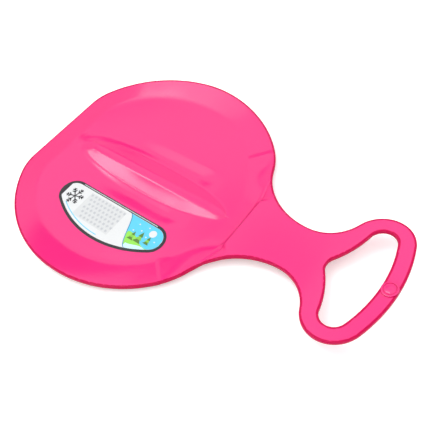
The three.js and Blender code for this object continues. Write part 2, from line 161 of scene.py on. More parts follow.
# Rim: a soft foot, a cone and a rolled outer strip. It narrows between two bearings.
RIM_WIDTH_SIDE = 41
RIM_WIDTH_REAR = 26.5
RIM_NARROW = (92, 155)
RIM_FOOT_SHARE = 0.15
RIM_ROLL_SHARE = 0.08
RIM_ROLL_SLOPE = 0.1
RIM_FALL_BEFORE_CENTRE = 18.4
RIM_FALL_LENGTH = 130
RIM_RISE_BEFORE_STEP = 33.6
RIM_RISE_LENGTH = 50
RIM_FRONT_SHARE = 0.1
RIM_FRONT_HALF = 30
RIM_FRONT_FADE = 50

# Step up to the neck, slope of the neck and bend up into the handle.
STEP_FROM_FLOOR = 21.7
STEP_RUN = 7.5
STEP_FOOT_BOW = 6
STEP_FOOT_HALF = 74
STEP_TOP_HALF = 38
STEP_TOP_BOW = 9
STEP_TOP_BOW_LENGTH = 12
STEP_BEND_POWER = 1.3
NECK_SLOPE = 0.05
HANDLE_SLOPE = 0.175
BEND_FROM_WAIST = 17.7
BEND_LENGTH = 44

# Centre ridge: its plan, its falling crest, its hollow faces and its two ends.
RIDGE_REAR_X = 45
RIDGE_FRONT_GAP = 0.9
RIDGE_TOP_HALF = 6
RIDGE_FULLNESS = 0.5
RIDGE_FRONT_SHARE = 0.75
RIDGE_FALL_GAP = 145
RIDGE_FALL_LENGTH = 110
RIDGE_FOOT_SHARE = 0.86
RIDGE_FRONT_FOOT_SHARE = 0.95
RIDGE_FACE_POWER = 3
RIDGE_ROOT_LENGTH = 25
RIDGE_TIP_LENGTH = 14
RIDGE_TIP_SLOPE = 0.32
CREST_GROOVE = 0.3

# Fine forms: valleys beside the ridge, the gate mark at its front end, the crease on
# the step and the ledges on the shoulders, whose turns are in degrees.
FURROW_DEPTH = 0.3
FURROW_WIDTH = 3.6
FURROW_LOW_SHARE = 0.25
GATE_MARK_RADIUS = 2.4
GATE_MARK_DEPTH = 0.9
CREASE_BOW = 10.5
CREASE_BOW_HALF = 77
CREASE_START = 32
CREASE_RUN = 10
CREASE_HALF_WIDTH = 2.4
CREASE_DEPTH = 1.1
LEDGE_DEGREES = 42.9
LEDGE_TURN = 1.7
LEDGE_FADE = 9
LEDGE_HEIGHT = 0.8
LEDGE_FOOT = 8

# Soft swell that carries the rear of the ridge, and the two runner channels.
SWELL_BEFORE_RIDGE = 35
SWELL_RISE_LENGTH = 40
SWELL_FADE_GAP = 70
SWELL_FADE_LENGTH = 70
SWELL_HEIGHT = 1.4
SWELL_INSIDE = 3
SWELL_FLANK = 14
SOLE_INNER_GAP = 9
SOLE_WIDTH = 5
CHANNEL_WALL_WIDTH = 17
CHANNEL_WALL_EASE = 0.3
CHANNEL_REAR_X = 60
CHANNEL_REAR_LENGTH = 120
CHANNEL_FRONT_GAP = 36.9
CHANNEL_FRONT_LENGTH = 40

# Blank of the body: how finely its outline is drawn, the strips along its edge that
# take a painted shade, and the part of its grid that is drawn in to follow the ridge.
# Its wall is all that is lower than WALL_TOP, and what lies within NEAR of a plane is on
# it.
OUTLINE_STEP = 2.4
OPENING_STEP = 1.8
EDGE_ROUND_SEGMENTS = 4
EDGE_SHADE_WIDTH = 1.3
EDGE_SHADE_FADE = 0.8
WALL_TOP = -0.001
GRID_BEFORE_RIDGE = 12
GRID_FACE_WIDTH = 10
GRID_FOOT = RIDGE_TOP_HALF + GRID_FACE_WIDTH
GRID_LEAST_TOP = 0.6
GRID_LEAST_HALF = 1.8
GRID_SIDE = (95, 137)
NEAR = 0.0001
# A direction across the body in which hardly two of its vertices are level.
SORT_DIRECTION = (0.61, 0.53, 0.59)

# Medallion: a ring with a rounded edge, a groove and a dome.
MEDALLION_RADIUS = 10.3
MEDALLION_HEIGHT = 1.5
MEDALLION_ROOT = 1.2
MEDALLION_EDGE = 0.5
MEDALLION_GROOVE_DEPTH = 0.7
MEDALLION_GROOVE_FLOOR = 0.5
MEDALLION_GROOVE_MOUTH = 0.9
MEDALLION_DOME_RADIUS = 7.2
MEDALLION_DOME_HEIGHT = 1.7
MEDALLION_DOME_RINGS = 8
MEDALLION_SIDES = 64
MEDALLION_POLE = 0.02

# Sticker: its place on the seat, its film and the thickness of a layer of ink.
LABEL_PAST_CENTRE = 7.6
LABEL_END_GAP = 19.7
LABEL_CHANNEL_GAP = 1.5
LABEL_FLOOR_GAP = 23.4
LABEL_END_BORDER = 8.5
FILM_LIFT = 0.02
INK_THICKNESS = 0.03
PRINT_STEP = 1.5

# Picture on the sticker. Places are u, v as in LabelPlan.
FIELD_GAP = 0.4
PICTURE_MARGIN = 0.2
DRIFT_START = 24
DRIFT_LENGTH = 30
DRIFT_LINE = (1.1, 0.5)
# Name, layer, ink and left end of each hill, then the level, height, start and length
# of its wave, and its fall.
HILLS = (
    ("hill", 4, "ink_leaf", 41, -27, 4, 34, 9, 0.1),
    ("snow", 5, "ink_ice", 50, -42, 3, 62, 8, 0),
)
# Place and size of each fir. Its tiers have a half width and a foot, and with their
# height they are shares of its size.
FIRS = ((51, -38, 14), (62, -37, 18), (75, -33, 13))
FIR_TIERS = ((0.36, 0.0), (0.28, 0.27), (0.2, 0.54))
FIR_TIER_HEIGHT = 0.46
MOON = (74, -15)
MOON_RADIUS = 5.5
FLAKES = ((48, -12), (57, -19), (64, -10), (84, -24), (46, -24), (69, -24))
FLAKE_RADIUS = 1.1

# Panel with its rows of small crystals, the large crystal, sweep and pinstripe.
PANEL_ENDS = (-50, 19)
PANEL_TOP = -7.5
PANEL_BOTTOM = -50
PANEL_MARGIN = 9
CRYSTAL_START = (-46, -11)
CRYSTAL_GAP = 7
CRYSTAL_ROWS = 6
CRYSTAL_COLUMNS = 10
CRYSTAL_ENDS = (-47, 20)
CRYSTAL_MARGIN = 10
CRYSTAL_RADIUS = 2.5
CRYSTAL_ARM_WIDTH = 0.8
CRYSTAL_TURN = 0.26
LARGE_CRYSTAL = (-69, -25)
LARGE_CRYSTAL_RADIUS = 14.5
LARGE_CRYSTAL_ARM_WIDTH = 1.6
# Where its pairs of barbs leave an arm and how long they are, as shares of the radius.
LARGE_CRYSTAL_BARBS = ((0.45, 0.34), (0.72, 0.26))
SWEEP_ENDS = (-74, 6)
SWEEP_MARGIN = 7.5
SWEEP_WIDTH = 1.3
PINSTRIPE = (-1.7, -2.6)
PINSTRIPE_END_GAP = 4

# Patterns of the finishes, per metre: 1000 over their size in millimetres.
FLOW_SCALE = 16.0
PEEL_SCALE = 140.0
GRAIN_SCALE = 900.0
MOTTLE_SCALE = 420.0

# Room round the slider, worked out from the reflections on it. A spot is its turn and
# rise as seen from the slider, and how far from there it ends and is full, in degrees.
DOORWAY = ((144.5, 36.5, 7.5, 5), (137, 35.5, 7, 4.5))
CEILING_EDGE = (39.0, 40.2)
DIM_CEILING = (136, 54.5, 5.5, 2.5)
DIM_SHARE = 0.6
# Soft boxes over the ceiling, each with its share of their level.
SOFT_BOXES = (
    ((180, 52, 10, 4), 1.0),
    ((190, 64, 10, 4), 1.0),
    ((203, 72, 9, 4), 1.0),
    ((184, 42, 9, 4), 0.8),
    ((172, 67, 13, 8), 0.44),
    ((160, 58, 9, 4), 0.33),
)
# How far the floor lies under the soles.
FLOOR_DROP = 0.3
# Place and size of the side screen, in metres.
SCREEN_PLACE = (-2.41, 1.12, 1.6)
SCREEN_SIZE = (0.87, 0.65)

# Camera, from the mirror symmetry of the outline: its axes, its place in metres and
# its focal length as a share of the picture's width.
CAMERA_RIGHT = (0.7840814, 0.60363873, -0.14434904)
CAMERA_UP = (-0.42107528, 0.68822386, 0.59079906)
CAMERA_BACK = (0.45597365, -0.40245274, 0.79380087)
CAMERA_PLACE = (0.376395, -0.318094, 0.62285)
CAMERA_LENGTH = 583.207 / 430
CAMERA_SENSOR = 36


def smooth(t):
    v = min(1.0, max(0.0, t))
    return v * v * (3 - 2 * v)


def bearing(a, b):
    return math.atan2(b[1] - a[1], b[0] - a[0])


def polar(centre, radius, turn):
    return (centre[0] + radius * math.cos(turn), centre[1] + radius * math.sin(turn))


def meet(p, p_far, q, q_far):
    """The left of the two points at distance p_far from p and q_far from q."""
    dx, dy = q[0] - p[0], q[1] - p[1]
    d = math.hypot(dx, dy)
    along = (p_far**2 - q_far**2 + d * d) / (2 * d)
    across = math.sqrt(p_far**2 - along**2)
    return (
        p[0] + (dx * along - dy * across) / d,
        p[1] + (dy * along + dx * across) / d,
    )


class Slider:
    """The outline and the upper surface of the slider, in millimetres.

    x runs from the rear edge, y across from the middle, z up from the soles."""

    def __init__(self, outline, form):
        for group in (outline, form):
            for key in group.__annotations__:
                setattr(self, key, getattr(group, key) / MM)
        self.place_outline()
        self.place_opening()
        self.place_surface()

    def place_outline(self):
        plate = (self.plate_radius - self.rear_cut, 0.0)
        quarter_radius = self.plate_radius - self.quarter_ease
        quarter = polar(plate, self.quarter_ease, math.radians(QUARTER_START))
        reach = quarter_radius - self.rear_corner_radius
        run = quarter[0] - self.rear_corner_radius
        corner = (self.rear_corner_radius, quarter[1] + math.sqrt(reach**2 - run**2))
        reach = self.plate_radius - self.shoulder_radius
        shoulder = polar(plate, reach, math.radians(SHOULDER_START))
        waist_y = self.waist_half_width + self.waist_radius
        reach = self.shoulder_radius + self.waist_radius
        waist_x = shoulder[0] + math.sqrt(reach**2 - (waist_y - shoulder[1]) ** 2)
        waist = (waist_x, waist_y)
        total = waist_x + self.waist_to_end
        lobe = (total - self.lobe_from_end, self.lobe_half_spacing)
        run, rise = lobe[0] - waist_x, lobe[1] - self.waist_half_width
        throat_radius = (run**2 + rise**2 - self.lobe_radius**2) / (
            2 * (self.lobe_radius + rise)
        )
        throat = (waist_x, self.waist_half_width + throat_radius)
        end_radius = (self.lobe_radius**2 - self.lobe_from_end**2 - lobe[1] ** 2) / (
            2 * (self.lobe_radius - self.lobe_from_end)
        )
        end = (total - end_radius, 0.0)
        self.total = total
        self.plate, self.quarter, self.corner = plate, quarter, corner
        self.quarter_radius = quarter_radius
        self.waist_x = waist_x
        down = -math.pi / 2
        self.outline_arcs = [
            (end, end_radius, 0, bearing(end, lobe)),
            (lobe, self.lobe_radius, bearing(end, lobe), bearing(lobe, throat)),
            (throat, throat_radius, bearing(throat, lobe), down),
            (waist, self.waist_radius, down, bearing(waist, shoulder)),
            (
                shoulder,
                self.shoulder_radius,
                bearing(shoulder, waist),
                bearing(plate, shoulder),
            ),
            (
                plate,
                self.plate_radius,
                bearing(plate, shoulder),
                bearing(plate, quarter),
            ),
            (
                quarter,
                quarter_radius,
                bearing(plate, quarter),
                bearing(quarter, corner),
            ),
            (corner, self.rear_corner_radius, bearing(quarter, corner), math.pi),
        ]

    def place_opening(self):
        lobe_radius = self.lobe_radius - self.side_bar_width
        front_x = self.total - self.end_bar_width
        lobe = (self.total - OPENING_LOBE_FROM_END, OPENING_LOBE_HALF_SPACING)
        run = front_x - lobe[0]
        front_radius = (lobe_radius**2 - run**2 - lobe[1] ** 2) / (
            2 * (lobe_radius - run)
        )
        front = (front_x - front_radius, 0.0)
        apex = (self.total - OPENING_APEX_FROM_END + OPENING_APEX_RADIUS, 0.0)
        side = meet(
            apex,
            OPENING_SIDE_RADIUS + OPENING_APEX_RADIUS,
            lobe,
            OPENING_SIDE_RADIUS + lobe_radius,
        )
        self.opening_arcs = [
            (front, front_radius, 0, bearing(front, lobe)),
            (lobe, lobe_radius, bearing(front, lobe), bearing(lobe, side)),
            (side, OPENING_SIDE_RADIUS, bearing(side, lobe), bearing(side, apex)),
            (apex, OPENING_APEX_RADIUS, bearing(apex, side), math.pi),
        ]

    def place_surface(self):
        self.floor_radius = self.plate_radius - RIM_WIDTH_SIDE
        self.floor_front_x = self.plate[0] + self.floor_radius
        self.floor_height = self.channel_depth + self.sheet_thickness
        self.step_foot_x = self.floor_front_x + STEP_FROM_FLOOR
        self.step_top_x = self.step_foot_x + STEP_RUN
        self.bend_start_x = self.waist_x + BEND_FROM_WAIST
        self.ridge_front_x = self.floor_front_x - RIDGE_FRONT_GAP
        self.channel_front_x = self.floor_front_x - CHANNEL_FRONT_GAP
        self.sole_inner_y = self.ridge_half_width + SOLE_INNER_GAP
        self.sole_outer_y = self.sole_inner_y + SOLE_WIDTH
        self.channel_outer_y = self.sole_outer_y + CHANNEL_WALL_WIDTH

    def rim_share(self, x, y):
        """How far up the rim a place is: 0 at its foot and 1 at the outline."""
        p = (x, y)
        inside, turn = x, math.pi
        if bearing(self.plate, p) <= bearing(self.plate, self.quarter):
            inside = self.plate_radius - math.dist(p, self.plate)
            turn = bearing(self.plate, p)
        elif y > self.quarter[1] and bearing(self.quarter, p) <= bearing(
            self.quarter, self.corner
        ):
            inside = self.quarter_radius - math.dist(p, self.quarter)
            turn = bearing(self.quarter, p)
        elif y > self.corner[1] and x < self.corner[0]:
            inside = self.rear_corner_radius - math.dist(p, self.corner)
            turn = bearing(self.corner, p)
        start, stop = (math.radians(d) for d in RIM_NARROW)
        narrow = smooth((turn - start) / (stop - start))
        width = RIM_WIDTH_SIDE + (RIM_WIDTH_REAR - RIM_WIDTH_SIDE) * narrow
        return 1 - inside / width

    def rim_climb(self, part):
        """Share of the rim's height: a soft foot, a cone and a rolled edge."""
        soft = RIM_FOOT_SHARE / 2
        straight = 1 - RIM_ROLL_SHARE
        lost = (1 - RIM_ROLL_SLOPE) / 2
        whole = 1 - soft - RIM_ROLL_SHARE * lost
        if part <= 0:
            return 0.0
        if part < RIM_FOOT_SHARE:
            return part**2 / (2 * RIM_FOOT_SHARE) / whole
        if part < straight:
            return (part - soft) / whole
        rolled = min(part - straight, RIM_ROLL_SHARE)
        return (straight - soft + rolled - lost * rolled**2 / RIM_ROLL_SHARE) / whole

    def rim_height(self, x, y):
        fall = smooth((x - self.plate[0] + RIM_FALL_BEFORE_CENTRE) / RIM_FALL_LENGTH)
        rise = smooth((x - self.step_foot_x + RIM_RISE_BEFORE_STEP) / RIM_RISE_LENGTH)
        height = (
            self.rim_height_side
            + (self.rim_height_front - self.rim_height_side) * fall
            + (self.neck_height - self.rim_height_front) * rise
        )
        aside = smooth((y - RIM_FRONT_HALF) / RIM_FRONT_FADE) if x > self.plate[0] else 1
        return height * (RIM_FRONT_SHARE + (1 - RIM_FRONT_SHARE) * aside)

    def neck(self, x):
        past = x - self.bend_start_x
        gain = HANDLE_SLOPE - NECK_SLOPE
        bent = min(BEND_LENGTH, max(0, past))
        return (
            self.neck_height
            + (x - self.step_top_x) * NECK_SLOPE
            + gain * bent**2 / (2 * BEND_LENGTH)
            + gain * max(0, past - BEND_LENGTH)
        )

    def ridge_half(self, x):
        middle = (RIDGE_REAR_X + self.ridge_front_x) / 2
        u = (x - middle) / (self.ridge_front_x - middle)
        if abs(u) >= 1:
            return 0.0
        return self.ridge_half_width * (1 - u * u) ** RIDGE_FULLNESS

    def ridge_top(self, x):
        return min(RIDGE_TOP_HALF, self.ridge_half(x) / 2)

    def channel(self, x, y):
        depth = (
            self.channel_depth
            * smooth((x - CHANNEL_REAR_X) / CHANNEL_REAR_LENGTH)
            * smooth((self.channel_front_x - x) / CHANNEL_FRONT_LENGTH)
        )
        if y < self.sole_inner_y:
            return -depth * y / self.sole_inner_y
        wall = min(1.0, max(0.0, (y - self.sole_outer_y) / CHANNEL_WALL_WIDTH))
        return -depth * (1 - wall - (smooth(wall) - wall) * CHANNEL_WALL_EASE)

    def swell(self, x, y):
        """The soft swell that carries the ridge towards the rear."""
        rise = smooth((x - RIDGE_REAR_X + SWELL_BEFORE_RIDGE) / SWELL_RISE_LENGTH)
        fade = smooth((x - RIDGE_REAR_X - SWELL_FADE_GAP) / SWELL_FADE_LENGTH)
        inner = max(0.0, self.ridge_half(x) - SWELL_INSIDE)
        flank = 1 - smooth((y - inner) / SWELL_FLANK)
        return SWELL_HEIGHT * rise * (1 - fade) * flank

    def furrow(self, x, y):
        """A fine valley just outside the foot of the ridge."""
        across = (y - self.ridge_half(x)) / FURROW_WIDTH
        if not 0 < across < 1:
            return 0.0
        root = smooth((x - RIDGE_REAR_X) / RIDGE_ROOT_LENGTH)
        tip = smooth((self.ridge_front_x - x) / RIDGE_TIP_LENGTH)
        down = min(across / FURROW_LOW_SHARE, (1 - across) / (1 - FURROW_LOW_SHARE))
        return FURROW_DEPTH * root * tip * down

    def gate_mark(self, x, y):
        """The round mark of the mould's gate, at the front end of the ridge."""
        away = math.hypot(x - self.ridge_front_x, y) / GATE_MARK_RADIUS
        return GATE_MARK_DEPTH * (1 - smooth(away))

    def ridge(self, x, y):
        half = self.ridge_half(x)
        soft = self.channel(x, y) + self.swell(x, y) - self.furrow(x, y)
        if y >= half:
            return soft
        tip = smooth((self.ridge_front_x - x) / RIDGE_TIP_LENGTH)
        root = smooth((x - RIDGE_REAR_X) / RIDGE_ROOT_LENGTH)
        fall = smooth((x - RIDGE_REAR_X - RIDGE_FALL_GAP) / RIDGE_FALL_LENGTH)
        top = self.ridge_height * (1 - (1 - RIDGE_FRONT_SHARE) * fall) * tip * root
        foot = self.channel(x, half) + self.swell(x, half)
        face = half - self.ridge_top(x)
        part = min(1.0, (half - y) / face)
        even = RIDGE_FOOT_SHARE + (RIDGE_FRONT_FOOT_SHARE - RIDGE_FOOT_SHARE) * fall
        rise = top - foot
        if x > self.plate[0]:
            rise = min(rise, RIDGE_TIP_SLOPE * face)
        climb = even * part + (1 - even) * part**RIDGE_FACE_POWER
        across = min(1.0, y / self.ridge_top(x))
        groove = CREST_GROOVE * tip * root * (1 - across**2) ** 2
        return max(foot + rise * climb, soft) - groove

    def ledge(self, x, y):
        """The small ledge that ends the rim on both shoulders."""
        turn = math.degrees(math.atan2(y, x - self.plate[0]))
        inside = math.hypot(x - self.plate[0], y) - self.floor_radius
        past = LEDGE_DEGREES - turn
        if inside <= 0 or past <= 0:
            return 0.0
        fade = smooth((past - LEDGE_TURN) / LEDGE_FADE)
        share = smooth(past / LEDGE_TURN) * (1 - fade)
        return LEDGE_HEIGHT * share * smooth(inside / LEDGE_FOOT)

    def crease(self, x, y):
        """A fine groove that carries the top of the step out to both edges."""
        middle = self.step_top_x - CREASE_BOW * (y / CREASE_BOW_HALF) ** 2
        across = max(0.0, 1 - abs(x - middle) / CREASE_HALF_WIDTH)
        return CREASE_DEPTH * across * smooth((y - CREASE_START) / CREASE_RUN)

    def surface(self, x, y):
        """Height of the upper face over the soles."""
        y = abs(y)
        seat = self.rim_height(x, y) * self.rim_climb(self.rim_share(x, y))
        seat += self.ridge(x, y)
        seat += self.ledge(x, y) - self.gate_mark(x, y)
        foot_x = self.step_foot_x - STEP_FOOT_BOW * (y / STEP_FOOT_HALF) ** 2
        bow = smooth((y - STEP_TOP_HALF) / STEP_TOP_BOW_LENGTH)
        top_x = self.step_top_x + STEP_TOP_BOW * bow
        part = min(1.0, max(0.0, (x - foot_x) / (top_x - foot_x)))
        height = seat + (self.neck(x) - seat) * part**STEP_BEND_POWER
        return self.floor_height + height - self.crease(x, y)


def trace(arcs, step):
    """Points along arcs, about a step apart, each joint once."""
    points = []
    for centre, radius, start, stop in arcs:
        count = max(3, math.ceil(abs(stop - start) * radius / step))
        for i in range(1 if points else 0, count + 1):
            points.append(polar(centre, radius, start + (stop - start) * i / count))
    return points


def flat_face(name, points):
    """A flat face with this outline, from a circle whose points are moved there."""
    bpy.ops.object.select_all(action="DESELECT")
    bpy.ops.mesh.primitive_circle_add(vertices=len(points), radius=1, fill_type="NGON")
    piece = bpy.context.object
    piece.name = piece.data.name = name
    for vertex, point in zip(piece.data.vertices, points):
        vertex.co = (*point, 0) if len(point) == 2 else point
    return piece


def edit(piece, kind):
    """Opens a piece in edit mode, to work on its vertices, edges or faces."""
    bpy.context.view_layer.objects.active = piece
    bpy.ops.object.mode_set(mode="EDIT")
    bpy.ops.mesh.select_mode(type=kind)


def extrude(rise):
    """Extrudes what is selected straight up or down."""
    bpy.ops.mesh.extrude_region_move(TRANSFORM_OT_translate={"value": (0, 0, rise)})


def face_outwards():
    bpy.ops.mesh.select_all(action="SELECT")
    bpy.ops.mesh.normals_make_consistent(inside=False)


def copy_of(piece, move):
    """A copy with its own mesh, which is moved, turned or scaled."""
    bpy.ops.object.select_all(action="DESELECT")
    piece.select_set(True)
    bpy.context.view_layer.objects.active = piece
    bpy.ops.object.duplicate(linked=False)
    copy = bpy.context.object
    copy.data.transform(move)
    return copy


def join_pieces(name, parts):
    bpy.ops.object.select_all(action="DESELECT")
    for part in parts:
        part.select_set(True)
    bpy.context.view_layer.objects.active = parts[0]
    bpy.ops.object.join()
    piece = bpy.context.object
    piece.name = piece.data.name = name
    return piece


def pick(piece, kind, test):
    """Selects the vertices, edges or faces that pass a test, in edit mode."""
    mesh = bmesh.from_edit_mesh(piece.data)
    for item in (*mesh.verts, *mesh.edges, *mesh.faces):
        item.select = False
    for item in getattr(mesh, kind):
        item.select = test(item)
    mesh.select_flush_mode()
    bmesh.update_edit_mesh(piece.data)


def place(piece, slot_name, finish, *nodes):
    """Gives a finished piece its finish and its place in the frame."""
    piece.data.materials.clear()
    piece.data.materials.append(finish)
    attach(piece, "root")
    if nodes:
        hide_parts(*nodes)


# Sockets of a colour mix: its share, its two colours and its result.
MIX_SHARE, MIX_FIRST, MIX_SECOND, MIX_COLOUR = 0, 6, 7, 2


def node(tree, kind, links=(), **settings):
    """Adds a node, sets its properties and inputs, and links (input, node, output)."""
    made = tree.nodes.new(kind)
    for key, value in settings.items():
        if hasattr(made, key):
            setattr(made, key, value)
        else:
            made.inputs[key.replace("_", " ")].default_value = value
    for entry, source, leave in links:
        tree.links.new(source.outputs[leave], made.inputs[entry])
    return made


def fresh_material(name):
    material = bpy.data.materials.new(name)
    material.use_nodes = True
    tree = material.node_tree
    tree.nodes.clear()
    return material, tree


def polyethylene_material(pink, edge_shade_pink):
    """Injection-moulded polyethylene: a polished mould leaves an even gloss with a
    faint orange peel, and the resin lets a little light into its pink."""
    material, tree = fresh_material("moulded_polyethylene")
    place_in = node(tree, "ShaderNodeTexCoord")
    # Flow of the resin in the mould, in cloudy patches about 60 mm across, orange peel
    # about 7 mm across, and a grain of about 1 mm that only dulls the gloss.
    clouds, peel, grain = (
        node(
            tree,
            "ShaderNodeTexNoise",
            [("Vector", place_in, "Object")],
            Scale=scale,
            Detail=detail,
        )
        for scale, detail in ((FLOW_SCALE, 2.0), (PEEL_SCALE, 1.0), (GRAIN_SCALE, 2.0))
    )
    tone = node(tree, "ShaderNodeMix", [(MIX_SHARE, clouds, "Fac")], data_type="RGBA")
    tone.inputs[MIX_FIRST].default_value = pink
    tone.inputs[MIX_SECOND].default_value = dimmed(pink, 0.95)
    # Painted shade: sideways faces and the strips along the edges take a deeper red,
    # which stands in for the shade on the walls and the dark line along the edges.
    upright = node(tree, "ShaderNodeSeparateXYZ", [("Vector", place_in, "Normal")])
    side = node(tree, "ShaderNodeMapRange", [("Value", upright, "Z")], From_Min=0.85)
    side.inputs["From Max"].default_value = 0.3
    edge_shade_strip = node(tree, "ShaderNodeAttribute", attribute_name="edge")
    edge = node(
        tree,
        "ShaderNodeMath",
        [(0, side, "Result"), (1, edge_shade_strip, "Fac")],
        operation="MAXIMUM",
    )
    depth = node(
        tree,
        "ShaderNodeMix",
        [(MIX_SHARE, edge, "Value"), (MIX_FIRST, tone, MIX_COLOUR)],
        data_type="RGBA",
    )
    # The painted shade of the walls and the edges.
    depth.inputs[MIX_SECOND].default_value = edge_shade_pink
    gloss = node(
        tree, "ShaderNodeMapRange", [("Value", grain, "Fac")], To_Min=0.1, To_Max=0.15
    )
    bump = node(
        tree, "ShaderNodeBump", [("Height", peel, "Fac")], Strength=0.05, Distance=0.0006
    )
    # The cut edge is duller than the polished faces.
    sheen = node(
        tree, "ShaderNodeMapRange", [("Value", edge, "Value")], To_Min=0.5, To_Max=0.12
    )
    skin = node(
        tree,
        "ShaderNodeBsdfPrincipled",
        [
            ("Base Color", depth, MIX_COLOUR),
            ("Roughness", gloss, "Result"),
            ("Specular IOR Level", sheen, "Result"),
            ("Normal", bump, "Normal"),
        ],
        IOR=1.56,
    )
    # A part of the light passes through the sheet and makes its shadow pink.
    through = node(tree, "ShaderNodeBsdfTranslucent", [("Color", tone, MIX_COLOUR)])
    sheet = node(tree, "ShaderNodeMixShader", [(1, skin, "BSDF"), (2, through, "BSDF")])
    sheet.inputs[0].default_value = 0.2
    node(tree, "ShaderNodeOutputMaterial", [("Surface", sheet, "Shader")])
    return material


def printed_material(name, ink, roughness):
    """Ink on a glossy vinyl film: even colour with a trace of the press's mottle."""
    material, tree = fresh_material(name)
    place_in = node(tree, "ShaderNodeTexCoord")
    # The mottle of the ink is about 2.5 mm across.
    mottle = node(
        tree,
        "ShaderNodeTexNoise",
        [("Vector", place_in, "Object")],
        Scale=MOTTLE_SCALE,
        Detail=2.0,
    )
    tone = node(tree, "ShaderNodeMix", [(MIX_SHARE, mottle, "Fac")], data_type="RGBA")
    tone.inputs[MIX_FIRST].default_value = ink
    tone.inputs[MIX_SECOND].default_value = dimmed(ink, 0.93)
    film = node(
        tree,
        "ShaderNodeBsdfPrincipled",
        [("Base Color", tone, MIX_COLOUR)],
        Roughness=roughness,
        IOR=1.4,
    )
    node(tree, "ShaderNodeOutputMaterial", [("Surface", film, "BSDF")])
    return material


def finish_of(name):
    return bpy.data.materials[name]


def grid(start, *runs):
    """Places of cuts from a start on. Each run has its end and the gap of its cuts."""
    places = []
    for stop, gap in runs:
        count = max(1, round((stop - start) / gap))
        places += [start + (stop - start) * i / count for i in range(count)]
        start = stop
    return places


def cut_across(axis, places):
    """Cuts the whole piece in edit mode with planes square to one axis."""
    normal = Vector((0, 0, 0))
    normal[axis] = 1
    for value in places:
        bpy.ops.mesh.select_all(action="SELECT")
        bpy.ops.mesh.bisect(plane_co=normal * value, plane_no=normal, threshold=0.00001)


def on_middle(face):
    """Whether a face of the blank lies in the middle plane."""
    return all(abs(v.co.y) < NEAR for v in face.verts)


def on_top(item):
    """Whether an edge or face of the blank lies in its upper face."""
    return all(v.co.z > -NEAR for v in item.verts)


